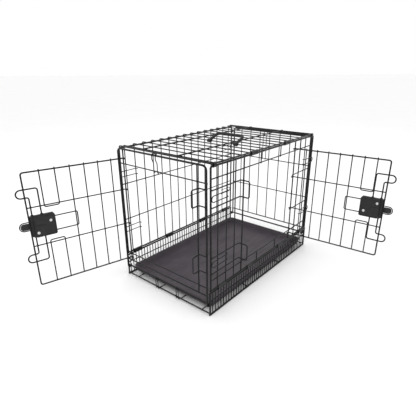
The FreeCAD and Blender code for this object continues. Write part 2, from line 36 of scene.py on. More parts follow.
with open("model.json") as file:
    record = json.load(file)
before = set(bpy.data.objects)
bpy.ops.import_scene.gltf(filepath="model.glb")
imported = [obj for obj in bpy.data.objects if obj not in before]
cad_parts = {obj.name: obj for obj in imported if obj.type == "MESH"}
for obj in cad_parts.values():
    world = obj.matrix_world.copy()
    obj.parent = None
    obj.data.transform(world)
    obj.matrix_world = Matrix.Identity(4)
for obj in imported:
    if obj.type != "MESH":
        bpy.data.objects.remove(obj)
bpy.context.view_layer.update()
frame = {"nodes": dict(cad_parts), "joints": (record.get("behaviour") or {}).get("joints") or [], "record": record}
MM = 0.001
FRAME_R = 2.6 * MM
DOORWAY_R = 2.0 * MM
MESH_R = 1.6 * MM
BORDER_END_R = 2.0 * MM


# ---- camera ----
CAMERA_PLACE = Vector((0.6778, -0.8846, 0.6115))
CAMERA_AIM = Vector((-0.601, 0.7154, -0.3564))
CAMERA_ROLL = math.radians(-0.277)
CAMERA_LENS = 31.18
CAMERA_SENSOR = 36.0
CAMERA_REACH = 50.0


def build_camera():
    data = bpy.data.cameras.new("camera")
    data.sensor_width = CAMERA_SENSOR
    data.lens = CAMERA_LENS
    data.clip_end = CAMERA_REACH
    camera = bpy.data.objects.new("camera", data)
    aim = CAMERA_AIM.to_track_quat("-Z", "Y").to_matrix().to_4x4()
    turn = aim @ Matrix.Rotation(CAMERA_ROLL, 4, "Z")
    camera.matrix_world = Matrix.Translation(CAMERA_PLACE) @ turn
    bpy.context.scene.collection.objects.link(camera)
    bpy.context.scene.camera = camera
    bpy.context.scene.view_settings.view_transform = "Standard"


# ---- materials ----
class Recipe:
    """Builds one node material on a Principled shader, in the object's own coordinates."""

    def __init__(self, name, specular=0.5, metallic=0.0, coat=0.0, coat_roughness=0.1):
        self.material = bpy.data.materials.new(name)
        self.material.use_nodes = True
        self.tree = self.material.node_tree
        self.shader = self.tree.nodes["Principled BSDF"]
        self.shader.inputs["Specular IOR Level"].default_value = specular
        self.shader.inputs["Metallic"].default_value = metallic
        self.shader.inputs["Coat Weight"].default_value = coat
        self.shader.inputs["Coat Roughness"].default_value = coat_roughness
        self.place = self.tree.nodes.new("ShaderNodeTexCoord").outputs["Object"]
        self.normal = None

    def stretched(self, scale):
        """The object's coordinates with each axis scaled."""
        mapping = self.tree.nodes.new("ShaderNodeMapping")
        mapping.inputs["Scale"].default_value = scale
        self.tree.links.new(self.place, mapping.inputs["Vector"])
        return mapping.outputs["Vector"]

    def noise(self, scale, detail=3.0, place=None):
        """Noise whose features are about 1/scale metres across."""
        node = self.tree.nodes.new("ShaderNodeTexNoise")
        node.inputs["Scale"].default_value = scale
        node.inputs["Detail"].default_value = detail
        self.tree.links.new(place or self.place, node.inputs["Vector"])
        return node.outputs["Fac"]

    def cells(self, scale):
        """Rounded cells, as of a moulded grain."""
        node = self.tree.nodes.new("ShaderNodeTexVoronoi")
        node.feature = "SMOOTH_F1"
        node.inputs["Scale"].default_value = scale
        self.tree.links.new(self.place, node.inputs["Vector"])
        return node.outputs["Distance"]

    def ramp(self, value, stops):
        """The value turned into a colour, from (position, colour) stops."""
        node = self.tree.nodes.new("ShaderNodeValToRGB")
        self.tree.links.new(value, node.inputs["Fac"])
        elements = node.color_ramp.elements
        for i, (position, colour) in enumerate(stops):
            element = elements[i] if i < len(elements) else elements.new(position)
            element.position = position
            element.color = (*colour, 1.0)
        return node.outputs["Color"]

    def span(self, value, low, high, start=0.3, end=0.7):
        """The value between start and end, mapped to low..high."""
        node = self.tree.nodes.new("ShaderNodeMapRange")
        node.inputs["From Min"].default_value = start
        node.inputs["From Max"].default_value = end
        node.inputs["To Min"].default_value = low
        node.inputs["To Max"].default_value = high
        self.tree.links.new(value, node.inputs["Value"])
        return node.outputs["Result"]

    def feed(self, socket, value):
        """Links the value to a socket of the shader."""
        self.tree.links.new(value, self.shader.inputs[socket])

    def bump(self, height, depth, strength=1.0):
        """Adds a bump of the depth in metres on top of those before it."""
        node = self.tree.nodes.new("ShaderNodeBump")
        node.inputs["Distance"].default_value = depth
        node.inputs["Strength"].default_value = strength
        self.tree.links.new(height, node.inputs["Height"])
        if self.normal:
            self.tree.links.new(self.normal, node.inputs["Normal"])
        self.normal = node.outputs["Normal"]
        self.tree.links.new(self.normal, self.shader.inputs["Normal"])


def coated_wire():
    """Black electro-coat on drawn wire: satin, faintly hammered, paler at some spots."""
    recipe = Recipe("coated_wire", specular=0.20, coat=0.10, coat_roughness=0.14)
    recipe.feed("Base Color", recipe.ramp(recipe.noise(140.0, 5.0), [
        (0.30, (0.0016, 0.0016, 0.0018)),
        (0.62, (0.004, 0.0038, 0.0045)),
        (0.80, (0.012, 0.011, 0.013))]))
    recipe.feed("Roughness", recipe.span(recipe.noise(420.0, 4.0), 0.24, 0.46))
    recipe.bump(recipe.noise(650.0, 2.0), 0.00010, 0.7)
    recipe.bump(recipe.noise(2400.0, 2.0), 0.00003, 0.6)
    return recipe.material


def coated_sleeve():
    """The same coat on bent sheet, with fine rolling lines along the sleeve."""
    recipe = Recipe("coated_sleeve", specular=0.30, coat=0.15, coat_roughness=0.2)
    recipe.feed("Base Color", recipe.ramp(recipe.noise(240.0, 5.0), [
        (0.30, (0.004, 0.004, 0.0045)),
        (0.65, (0.010, 0.010, 0.011)),
        (0.82, (0.030, 0.029, 0.030))]))
    recipe.feed("Roughness", recipe.span(recipe.noise(600.0, 4.0), 0.30, 0.55))
    recipe.bump(recipe.noise(1.0, 3.0, recipe.stretched((2600.0, 90.0, 2600.0))), 0.00005, 0.7)
    return recipe.material


def moulded_plastic():
    """Black moulded nylon with a fine spark-eroded grain and lightly polished high spots."""
    recipe = Recipe("moulded_plastic", specular=0.35)
    recipe.feed("Base Color", recipe.ramp(recipe.noise(90.0, 4.0), [
        (0.35, (0.006, 0.006, 0.0065)), (0.70, (0.013, 0.013, 0.014))]))
    recipe.feed("Roughness", recipe.span(recipe.noise(300.0, 4.0), 0.34, 0.56))
    recipe.bump(recipe.cells(2100.0), 0.00005, 0.7)
    recipe.bump(recipe.noise(45.0, 2.0), 0.00020, 0.25)
    return recipe.material


def pan_plastic():
    """Dark charcoal sheet plastic with a leather grain, faint sink marks and long scuffs."""
    recipe = Recipe("pan_plastic", specular=0.25)
    recipe.feed("Base Color", recipe.ramp(recipe.noise(14.0, 6.0), [
        (0.28, (0.044, 0.037, 0.046)),
        (0.52, (0.060, 0.051, 0.061)),
        (0.80, (0.078, 0.068, 0.079))]))
    scuffs = recipe.noise(1.0, 5.0, recipe.stretched((130.0, 9.0, 130.0)))
    recipe.feed("Roughness", recipe.span(scuffs, 0.36, 0.60))
    recipe.bump(recipe.cells(780.0), 0.00012, 0.7)
    recipe.bump(recipe.noise(1900.0, 2.0), 0.00004, 0.5)
    return recipe.material


def plated_rivet():
    """Zinc-plated steel with turned rings."""
    recipe = Recipe("plated_rivet", metallic=1.0)
    recipe.feed("Base Color", recipe.ramp(recipe.noise(500.0, 4.0), [
        (0.30, (0.50, 0.50, 0.49)), (0.70, (0.72, 0.72, 0.71))]))
    recipe.feed("Roughness", recipe.span(recipe.noise(900.0, 3.0), 0.22, 0.42))
    recipe.bump(recipe.noise(2200.0, 2.0), 0.00004, 0.6)
    return recipe.material


def studio_floor():
    """Plain white studio paper."""
    recipe = Recipe("studio_floor")
    recipe.feed("Base Color", recipe.ramp(recipe.noise(3.0, 2.0), [
        (0.30, (0.955, 0.955, 0.955)), (0.70, (0.97, 0.97, 0.97))]))
    recipe.feed("Roughness", recipe.span(recipe.noise(8.0, 2.0), 0.75, 0.85))
    return recipe.material


FINISH = {
    "black_wire": coated_wire(),
    "sleeve_steel": coated_sleeve(),
    "black_plastic": moulded_plastic(),
    "pan_plastic": pan_plastic(),
    "rivet_steel": plated_rivet(),
}


def coat_cad_nodes():
    """Gives every CAD node the material of its slot in the record."""
    for sub in frame["record"]["subparts"]:
        mesh = frame["nodes"][sub["node"]].data
        mesh.materials.clear()
        mesh.materials.append(FINISH[sub["material_slot"]])


# ---- making meshes ----
def piece(name, shape, body, slot, replaced=(), sharp=32.0):
    """Turns a bmesh into an object that rides on a body."""
    bmesh.ops.recalc_face_normals(shape, faces=shape.faces)
    mesh = bpy.data.meshes.new(name)
    shape.to_mesh(mesh)
    shape.free()
    mesh.shade_smooth()
    mesh.set_sharp_from_angle(angle=math.radians(sharp))
    mesh.materials.append(FINISH[slot])
    thing = bpy.data.objects.new(name, mesh)
    bpy.context.scene.collection.objects.link(thing)
    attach(thing, body)
    if replaced:
        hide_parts(*replaced)
    return thing


def skin(shape, rings, closed=True):
    """Joins rings of equal length with quads, and caps the two ends when the skin is closed."""
    made = [[shape.verts.new(p) for p in ring] for ring in rings]
    count = len(made[0])
    for low, high in zip(made, made[1:]):
        for i in range(count):
            j = (i + 1) % count
            shape.faces.new((low[i], low[j], high[j], high[i]))
    if closed:
        shape.faces.new(list(reversed(made[0])))
        shape.faces.new(made[-1])
    else:
        for i in range(count):
            j = (i + 1) % count
            shape.faces.new((made[-1][i], made[-1][j], made[0][j], made[0][i]))


def rounded_path(points, bend, steps=8):
    """Points along the corners, each corner turned with the bend radius."""
    path = [points[0]]
    for before, corner, after in zip(points, points[1:], points[2:]):
        into = (corner - before).normalized()
        out = (after - corner).normalized()
        half = into.angle(out) / 2
        start = corner - into * bend * math.tan(half)
        centre = corner + (out - into).normalized() * (bend / math.cos(half))
        axis = into.cross(out).normalized()
        for i in range(steps + 1):
            turn = Matrix.Rotation(2 * half * i / steps, 3, axis)
            path.append(centre + turn @ (start - centre))
    path.append(points[-1])
    return path


def resampled(path, step):
    """The same line with points at most one step apart."""
    out = [path[0]]
    for a, b in zip(path, path[1:]):
        count = max(1, math.ceil((b - a).length / step))
        out += [a.lerp(b, i / count) for i in range(1, count + 1)]
    return out


def spokes(axis, side, sides):
    """Unit vectors all round the axis, the first of them along side."""
    up = axis.cross(side)
    turns = [2 * math.pi * k / sides for k in range(sides)]
    return [side * math.cos(a) + up * math.sin(a) for a in turns]


END_CAP = [math.radians(a) for a in (78, 58, 36, 16)]
END_CAP_HEIGHT = 0.7          # of the radius


def sweep(shape, path, radius_at, sides=20):
    """A round tube along the path with domed ends.  radius_at takes 0..1 along it."""
    lengths = [0.0]
    for a, b in zip(path, path[1:]):
        lengths.append(lengths[-1] + (b - a).length)
    side = None
    stations = []
    for i, point in enumerate(path):
        along = (path[min(i + 1, len(path) - 1)] - path[max(i - 1, 0)]).normalized()
        if side is None:
            side = along.orthogonal()
        side = (side - along * side.dot(along)).normalized()
        radius = radius_at(lengths[i] / lengths[-1])
        stations.append((point, along * radius * END_CAP_HEIGHT,
                         [spoke * radius for spoke in spokes(along, side, sides)]))

    def ring(centre, radii, share):
        return [centre + radius * share for radius in radii]

    point, cap, radii = stations[0]
    rings = [ring(point - cap * math.sin(a), radii, math.cos(a)) for a in END_CAP]
    rings += [ring(point, radii, 1.0) for point, cap, radii in stations]
    point, cap, radii = stations[-1]
    rings += [ring(point + cap * math.sin(a), radii, math.cos(a)) for a in reversed(END_CAP)]
    skin(shape, rings)


def lathe(shape, centre, axis, profile, sides=28):
    """A ring turned about the axis from a closed profile of (radius, along) points."""
    axis = axis.normalized()
    rim = spokes(axis, axis.orthogonal().normalized(), sides)
    rings = [[centre + axis * along + spoke * radius for spoke in rim] for radius, along in profile]
    skin(shape, rings, closed=False)


def dome(shape, centre, axis, radius, height, sides=24, steps=5):
    """A low dome with a closed foot, standing on the centre along the axis."""
    axis = axis.normalized()
    rim = spokes(axis, axis.orthogonal().normalized(), sides)
    rings = []
    for i in range(steps):
        a = math.pi / 2 * i / steps
        level = centre + axis * height * math.sin(a)
        rings.append([level + spoke * radius * math.cos(a) for spoke in rim])
    skin(shape, rings)


def outline(x0, x1, y0, y1, corner, steps=7):
    """A rectangle with round corners, as 2D points that go once round."""
    points = []
    corners = ((x1 - corner, y1 - corner, 0), (x0 + corner, y1 - corner, 90),
               (x0 + corner, y0 + corner, 180), (x1 - corner, y0 + corner, 270))
    for cx, cy, start in corners:
        for i in range(steps + 1):
            a = math.radians(start + 90.0 * i / steps)
            points.append((cx + corner * math.cos(a), cy + corner * math.sin(a)))
    return points


ROLLED_EDGE = [math.radians(a) for a in (0, 22, 45, 68, 90)]
LEAST_CORNER = 0.2 * MM


def slab(shape, place, across, up, out, corner, edge):
    """A moulded block with round corners and rolled edges, from its three (low, high) spans.

    place turns (across, up, out) into a point.
    """
    levels = [(edge * (1 - math.sin(a)), edge * (1 - math.cos(a))) for a in ROLLED_EDGE]
    steps = [(inset, out[0] + depth) for inset, depth in levels]
    steps += [(inset, out[1] - depth) for inset, depth in reversed(levels)]
    rings = []
    for inset, n in steps:
        loop = outline(across[0] + inset, across[1] - inset, up[0] + inset, up[1] - inset,
                       max(corner - inset, LEAST_CORNER))
        rings.append([place(s, w, n) for s, w in loop])
    skin(shape, rings)


# ---- reading wires back from the CAD nodes ----
def islands(node, to_local=Matrix.Identity(4)):
    """The corner points of the box round each separate solid of a node, in local coordinates."""
    shape = bmesh.new()
    shape.from_mesh(frame["nodes"][node].data)
    bmesh.ops.remove_doubles(shape, verts=shape.verts, dist=1e-6)
    seen = set()
    boxes = []
    for first in shape.verts:
        if first in seen:
            continue
        seen.add(first)
        queue = [first]
        found = []
        while queue:
            vert = queue.pop()
            found.append(to_local @ vert.co)
            for link in vert.link_edges:
                other = link.other_vert(vert)
                if other not in seen:
                    seen.add(other)
                    queue.append(other)
        low = Vector(min(p[i] for p in found) for i in range(3))
        high = Vector(max(p[i] for p in found) for i in range(3))
        boxes.append((low, high))
    shape.free()
    return boxes


def straight(node, to_local=Matrix.Identity(4)):
    """The wires of a node of straight wires, as (start, end, radius) in local coordinates."""
    found = []
    for low, high in islands(node, to_local):
        size = high - low
        axis = max(range(3), key=lambda i: size[i])
        radius = min(size) / 2
        start = (low + high) / 2
        end = start.copy()
        start[axis] = low[axis]
        end[axis] = high[axis]
        found.append((start, end, radius))
    return found


def nearest(one, two):
    """The points of two segments that lie nearest each other."""
    a, b = one[1] - one[0], two[1] - two[0]
    r = one[0] - two[0]
    aa, bb, ab = a.dot(a), b.dot(b), a.dot(b)
    ar, br = a.dot(r), b.dot(r)
    spread = aa * bb - ab * ab
    if spread < 1e-12:
        return None
    s = min(1.0, max(0.0, (ab * br - bb * ar) / spread))
    t = min(1.0, max(0.0, (ab * s + br) / bb))
    s = min(1.0, max(0.0, (ab * t - ar) / aa))
    return one[0] + a * s, two[0] + b * t


def bead(shape, centre, along, across, size, thick):
    """A squashed weld bead between two wires."""
    normal = along.cross(across).normalized()
    along = along.normalized()
    across = normal.cross(along)
    turn = Matrix((along * size, across * size, normal * thick)).transposed().to_4x4()
    bmesh.ops.create_icosphere(shape, subdivisions=2, radius=1.0, matrix=Matrix.Translation(centre) @ turn)


WELD_REACH = 0.4 * MM
BEAD_WIDTH = 1.22             # of the thinner wire's radius
BEAD_HEIGHT = 1.05


def weld_all(shape, wires, across, to_world=Matrix.Identity(4)):
    """A bead wherever a wire of one list lies on, or ends against, a wire of the other."""
    turn = to_world.to_3x3()
    for one, two in product(wires, across):
        pair = nearest(one, two)
        if pair is None or (pair[0] - pair[1]).length > one[2] + two[2] + WELD_REACH:
            continue
        thin = min(one[2], two[2])
        centre = to_world @ pair[0].lerp(pair[1], one[2] / (one[2] + two[2]))
        bead(shape, centre, turn @ (one[1] - one[0]), turn @ (two[1] - two[0]),
             BEAD_WIDTH * thin, BEAD_HEIGHT * thin)


def frame_lanes(node, radius, thin_axis, plane=None):
    """The straight sides of a bent frame that is flat across its thin axis, from the box round it."""
    low, high = max(islands(node), key=lambda b: (b[1] - b[0]).length)
    a, b = [i for i in range(3) if i != thin_axis]
    inner_low, inner_high = low + Vector((radius,) * 3), high - Vector((radius,) * 3)
    lanes = []
    for fixed, free in ((a, b), (b, a)):
        for value in (inner_low[fixed], inner_high[fixed]):
            start = inner_high.copy()
            start[fixed] = value
            start[free] = inner_low[free]
            if plane is not None:
                start[thin_axis] = plane
            end = start.copy()
            end[free] = inner_high[free]
            lanes.append((start, end, radius))
    return lanes


LONG_WIRE = 400 * MM          # wires along Y are at least this long
THICKEST_WIRE = 1.2 * FRAME_R
CROSS_WIRE = 250 * MM         # hooked wires are at least this wide,
CROSS_WIRE_DEEP = 20 * MM     # and no deeper than this along Y
HOOK = 6 * MM                 # of a hooked wire's width, at its far side


def long_wires(node):
    """The straight wires along Y in a node that also holds bent ones."""
    return [w for w in straight(node) if (w[1] - w[0]).y > LONG_WIRE and w[2] < THICKEST_WIRE]


def hooked_wires(node, radius):
    """The straight run of wires along X that end in a hook at the far side."""
    found = []
    for low, high in islands(node):
        if (high - low).x < CROSS_WIRE or (high - low).y > CROSS_WIRE_DEEP:
            continue
        z = high.z - radius
        y = (low.y + high.y) / 2
        found.append((Vector((low.x + HOOK, y, z)), Vector((high.x, y, z)), radius))
    return found


# ---- welds of each panel ----
def build_welds():
    base = bmesh.new()
    long_rails = straight("skirt_rails")
    for node in ("near_skirt_bars", "far_skirt_bars"):
        weld_all(base, straight(node), long_rails)
    weld_all(base, straight("base_corner_posts"), long_rails)
    weld_all(base, straight("base_end_wires"), long_rails + straight("base_corner_posts"))
    floor = straight("floor_wires")
    weld_all(base, floor, straight("base_end_wires") + long_rails)
    for one, two in combinations(floor, 2):
        weld_all(base, [one], [two])
    front = frame_lanes("front_frame", FRAME_R, 1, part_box("front_frame")[0].y + FRAME_R)
    rails = straight("front_rails")
    weld_all(base, rails, front)
    weld_all(base, straight("front_doorway_wires"), rails + front)
    piece("base_welds", base, "base", "black_wire")

    near = bmesh.new()
    sides = frame_lanes("near_frame", FRAME_R, 0) + long_wires("near_frame")
    uprights = straight("near_uprights") + straight("near_doorway_wires")
    weld_all(near, uprights, straight("near_rails") + sides)
    weld_all(near, straight("near_rails"), sides)
    piece("near_side_welds", near, "near_side", "black_wire")

    far = bmesh.new()
    sides = frame_lanes("far_frame", FRAME_R, 0) + long_wires("far_frame")
    weld_all(far, straight("far_uprights"), straight("far_rails") + sides)
    weld_all(far, straight("far_rails"), sides)
    piece("far_side_welds", far, "far_side", "black_wire")

    top = bmesh.new()
    cross = hooked_wires("top_cross_wires", MESH_R)
    ends = hooked_wires("top_border", BORDER_END_R)
    along = long_wires("top_border") + straight("top_long_wires")
    weld_all(top, cross + ends, along)
    piece("top_welds", top, "top", "black_wire")

    back = bmesh.new()
    sides = frame_lanes("back_frame", FRAME_R, 1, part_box("back_frame")[1].y - FRAME_R)
    bottom = [w for w in straight("back_frame") if w[2] < FRAME_R]
    weld_all(back, straight("back_uprights"), straight("back_rails") + bottom + sides)
    weld_all(back, straight("back_rails") + bottom, sides)
    piece("back_end_welds", back, "back_end", "black_wire")


# ---- crimped sleeves ----
SHEET = 0.9 * MM              # thickness of the sheet
PINCH = 1.9 * MM              # how far each flank is pressed in between the two wires
FLARE = 0.25 * MM             # how much wider a sleeve stays at its ends
FLARE_RUN = 0.25              # of its length, where the flare fades and the pinch begins
SLEEVE_STEPS = 14
BEND_STEPS = 12
FLANK_STEPS = 9


def crimped_sleeve(shape, low, high):
    """A sheet sleeve round two wires, pinched between them except at its flared ends."""
    outer = (high.x - low.x) / 2
    x = (low.x + high.x) / 2
    z_low, z_high = low.z + outer, high.z - outer

    def bend(radius, y, z, start):
        turns = [math.radians(start + 180.0 * i / BEND_STEPS) for i in range(BEND_STEPS + 1)]
        return [Vector((x + radius * math.cos(a), y, z + radius * math.sin(a))) for a in turns]

    def flank(radius, pinch, y, way):
        points = []
        for i in range(1, FLANK_STEPS):
            t = i / FLANK_STEPS
            half = radius - pinch * math.sin(math.pi * t) ** 2
            points.append(Vector((x + way * half, y, z_low + (z_high - z_low) * t)))
        return points

    def loop(radius, pinch, y):
        down = list(reversed(flank(radius, pinch, y, -1)))
        up = flank(radius, pinch, y, 1)
        return bend(radius, y, z_high, 0) + down + bend(radius, y, z_low, 180) + up

    outside, inside = [], []
    for i in range(SLEEVE_STEPS + 1):
        t = i / SLEEVE_STEPS
        y = low.y + (high.y - low.y) * t
        grip = min(1.0, min(t, 1.0 - t) / FLARE_RUN)
        grip = grip * grip * (3 - 2 * grip)
        radius = outer - FLARE * grip
        outside.append(loop(radius, PINCH * grip, y))
        inside.append(loop(radius - SHEET, PINCH * grip, y))
    skin(shape, outside + list(reversed(inside)), closed=False)


def build_sleeves():
    for node, body in (("skirt_sleeves", "base"), ("top_sleeves", "top")):
        shape = bmesh.new()
        for low, high in islands(node):
            crimped_sleeve(shape, low, high)
        piece("crimped_" + node, shape, body, "sleeve_steel", [node])


# ---- floor pan ----
PAN_CORNER = 16 * MM
PAN_LEAST_CORNER = 5 * MM
PAN_CORNER_STEPS = 9
# The section of the pan in mm.  The rim's points are (inset from its outer edge, depth below its
# top) and the bowl's are (inset, height above the pan's foot).
RIM_INSIDE = ((0.0, 3.4), (0.0, 0.9), (0.3, 0.3), (1.0, 0.0), (4.4, 0.0), (5.4, 0.4), (6.0, 1.4))
WALL_INSIDE = ((8.6, 7.4), (9.6, 5.2))
BORDER_INSIDE = ((12.0, 4.3), (24.0, 4.3))
FLOOR_INSIDE = ((26.0, 3.9), (28.4, 2.8), (31.0, 2.4), (60.0, 2.4))
FLOOR_UNDER = ((60.0, 0.0), (29.0, 0.0), (26.0, 0.5))
BORDER_UNDER = ((23.0, 1.8), (12.4, 1.8))
WALL_UNDER = ((9.0, 1.0), (6.6, 2.4), (5.8, 6.6))
RIM_UNDER = ((3.6, 2.6), (2.0, 2.2), (1.8, 3.4))


def build_pan():
    """A vacuum-formed tray: rolled rim, drafted walls, a raised border and a sunk floor."""
    low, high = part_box("floor_pan")

    def ring(inset, z):
        corner = max(PAN_CORNER - inset * 0.6, PAN_LEAST_CORNER)
        loop = outline(low.x + inset, high.x - inset, low.y + inset, high.y - inset,
                       corner, PAN_CORNER_STEPS)
        return [Vector((x, y, z)) for x, y in loop]

    def rim(section):
        return [ring(inset * MM, high.z - depth * MM) for inset, depth in section]

    def bowl(section):
        return [ring(inset * MM, low.z + height * MM) for inset, height in section]

    inside = rim(RIM_INSIDE) + bowl(WALL_INSIDE + BORDER_INSIDE + FLOOR_INSIDE)
    under = bowl(FLOOR_UNDER + BORDER_UNDER + WALL_UNDER) + rim(RIM_UNDER)
    shape = bmesh.new()
    made = [[shape.verts.new(p) for p in points] for points in inside + under]
    count = len(made[0])
    floor_at = len(inside) - 1
    for k, (one, two) in enumerate(zip(made, made[1:] + made[:1])):
        if k == floor_at:
            continue
        for i in range(count):
            j = (i + 1) % count
            shape.faces.new((one[i], one[j], two[j], two[i]))
    shape.faces.new(made[floor_at])
    shape.faces.new(list(reversed(made[floor_at + 1])))
    piece("moulded_floor_pan", shape, "pan", "pan_plastic", ["floor_pan"])


# ---- carrying handle ----
BAIL_R = 4.5 * MM
BAIL_CORNER = 12 * MM
BAIL_STEP = 1.6 * MM
GRIP_REACH = 5.0 * MM         # from the middle of the grip to the outside of its swells
GRIP_START = 0.3              # of the bail's length, where the finger swells begin
GRIP_SWELL = 0.45 * MM
GRIP_SWELLS = 4
ARM_START = 4.6 * MM          # from an eye's axis, inside the eye's wall
EYE_HALF = 6.2 * MM
EYE_R = 5.7 * MM
EYE_CHAMFER = (0.6 * MM, 0.7 * MM)
EYE_PLAY = 0.5 * MM


def build_handle():
    """A C-shaped bail with finger swells on the grip and an eye at each foot."""
    low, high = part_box("carry_handle")
    joint = next(j for j in frame["joints"] if j["child"] == "carry_handle")
    pivot = Vector(joint["pos_m"])
    eyes = [Vector((x, pivot.y, pivot.z)) for x in (low.x + EYE_HALF, high.x - EYE_HALF)]
    corners = [Vector((eye.x, high.y - GRIP_REACH, high.z - GRIP_REACH)) for eye in eyes]
    arms = [(corner - eye).normalized() * ARM_START for eye, corner in zip(eyes, corners)]
    points = [eyes[0] + arms[0], corners[0], corners[1], eyes[1] + arms[1]]
    path = resampled(rounded_path(points, BAIL_CORNER, 10), BAIL_STEP)

    def radius_at(t):
        share = (t - GRIP_START) / (1 - 2 * GRIP_START)
        swell = GRIP_SWELL * math.sin(GRIP_SWELLS * math.pi * share) ** 2
        return BAIL_R + (swell if 0.0 < share < 1.0 else 0.0)

    shape = bmesh.new()
    sweep(shape, path, radius_at)
    hole = MESH_R + EYE_PLAY
    face_r, wall_half = EYE_R - EYE_CHAMFER[0], EYE_HALF - EYE_CHAMFER[1]
    profile = [(hole, -EYE_HALF), (face_r, -EYE_HALF), (EYE_R, -wall_half),
               (EYE_R, wall_half), (face_r, EYE_HALF), (hole, EYE_HALF)]
    for eye in eyes:
        lathe(shape, eye, Vector((1, 0, 0)), profile)
    piece("moulded_carry_handle", shape, "carry_handle", "black_plastic", ["carry_handle"])


# ---- doors ----
class DoorSpace:
    """The door's own directions: u from its hinge, n outwards and z up."""

    def __init__(self, joint_name, closed_u, closed_n):
        joint = next(j for j in frame["joints"] if j["name"] == joint_name)
        turn = Matrix.Rotation(-math.radians(joint["range_deg"][1]), 3, Vector(joint["axis"]))
        hinge = Vector(joint["pos_m"])
        hinge.z = 0.0
        self.u = turn @ closed_u
        self.n = turn @ closed_n
        axes = Matrix((self.u, self.n, Vector((0, 0, 1)))).transposed().to_4x4()
        self.to_world = Matrix.Translation(hinge) @ axes
        self.to_local = self.to_world.inverted()

    def box(self, node):
        """The box round a node, in (u, n, z)."""
        boxes = islands(node, self.to_local)
        low = Vector(min(b[0][i] for b in boxes) for i in range(3))
        high = Vector(max(b[1][i] for b in boxes) for i in range(3))
        return low, high

    def at(self, u, n, z):
        return self.to_world @ Vector((u, n, z))


END_SINK = 0.02 * MM          # how deep the foot of a domed wire end sits in its wire
END_HEIGHT = 0.8              # of the wire's radius
END_MARGIN = 6 * MM           # a bar whose end is this near the door's edge ends there


def door_wires(name, space):
    """Weld beads of a door and the domed ends of its bars and rails."""
    welds = bmesh.new()
    ends = bmesh.new()
    low, high = space.box(name + "_frame")
    n = high.y - DOORWAY_R
    left, right = DOORWAY_R, high.x - DOORWAY_R
    foot, head = low.z + DOORWAY_R, high.z - DOORWAY_R
    corners = [Vector((left, n, foot)), Vector((right, n, foot)),
               Vector((right, n, head)), Vector((left, n, head))]
    edge = [(a, b, DOORWAY_R) for a, b in zip(corners, corners[1:])]
    rails = []
    for r_low, r_high in islands(name + "_rails", space.to_local):
        thin = (r_high.z - r_low.z) / 2
        z = (r_high.z + r_low.z) / 2
        rail_n = r_high.y - thin
        rails.append((Vector((thin, rail_n, z)), Vector((r_high.x, rail_n, z)), thin))
        dome(ends, space.at(r_high.x - END_SINK, rail_n, z), space.u, thin, END_HEIGHT * thin)
    bars = straight(name + "_bars", space.to_local)
    for b_low, b_high in islands(name + "_short_bars", space.to_local):
        thin = (b_high.y - b_low.y) / 2
        bar_n = (b_low.y + b_high.y) / 2
        for u in (b_low.x + thin, b_high.x - thin):
            bars.append((Vector((u, bar_n, b_low.z)), Vector((u, bar_n, b_high.z)), thin))
    weld_all(welds, bars, rails + edge, space.to_world)
    weld_all(welds, rails, edge, space.to_world)
    middle = (low.z + high.z) / 2
    reach = (high.z - low.z) / 2 - END_MARGIN
    for start, end, thin in bars:
        for point, way in ((start, -1), (end, 1)):
            if (point.z - middle) * way > reach:
                up = Vector((0, 0, way))
                dome(ends, space.to_world @ (point - up * END_SINK), up, thin, END_HEIGHT * thin)
    piece(name + "_welds", welds, name, "black_wire")
    piece(name + "_wire_ends", ends, name, "black_wire")


# ---- slide latches ----
class LatchSpace:
    """A latch's own directions: s along the door from its middle, w across it and n outwards."""

    def __init__(self, name, door):
        self.name = name
        self.door = door
        self.cover = door.box(name + "_cover")
        self.plate = door.box(name + "_back_plate")
        self.tongue = door.box(name + "_tongue")
        cover_low, cover_high = self.cover
        self.u = (self.plate[0].x + cover_high.x) / 2
        self.z = (cover_low.z + cover_high.z) / 2
        self.half_s = cover_high.x - self.u
        self.half_w = (cover_high.z - cover_low.z) / 2
        tongue_z = (self.tongue[0].z + self.tongue[1].z) / 2
        self.flip = 1.0 if tongue_z > self.z else -1.0

    def at(self, s, w, n):
        return self.door.at(self.u + s, n, self.z + self.flip * w)

    def wires(self, part):
        return islands(self.name + part, self.door.to_local)

    def finish(self, shape, part, slot, replaced):
        piece(self.name + part, shape, self.name, slot, [self.name + replaced])


GRIP_HEIGHT = 7.0 * MM        # from the cover's face to the top of the grip's ribs
PANEL_MARGIN = 3.2 * MM       # round the raised panel on the cover's face
LINE_W = (-8.6 * MM, 7.4 * MM)
LINE_S = (-9 * MM, 26 * MM)
LINE_WIDTH = 1.2 * MM
GRIP_S = (-6 * MM, 24 * MM)
GRIP_W = (-6 * MM, 6 * MM)
GRIP_RIBS = 5
GRIP_RIB_START = 1.0 * MM
GRIP_RIB_PITCH = 4.0 * MM
GRIP_RIB_WIDTH = 1.5 * MM
GRIP_RIB_W = (-4.6 * MM, 4.6 * MM)
BOLT_LEGS = (-1.0 * MM, 22.0 * MM)
LEAST_BOLT_WIDTH = 40 * MM    # the tongue's wire loop is narrower
# The section of a collar, in mm: (gap from the bolt wire, height above the cover's edge).
COLLAR = ((0.05, -1.0), (1.9, -1.0), (1.9, 1.6), (1.4, 2.4), (0.05, 2.8))


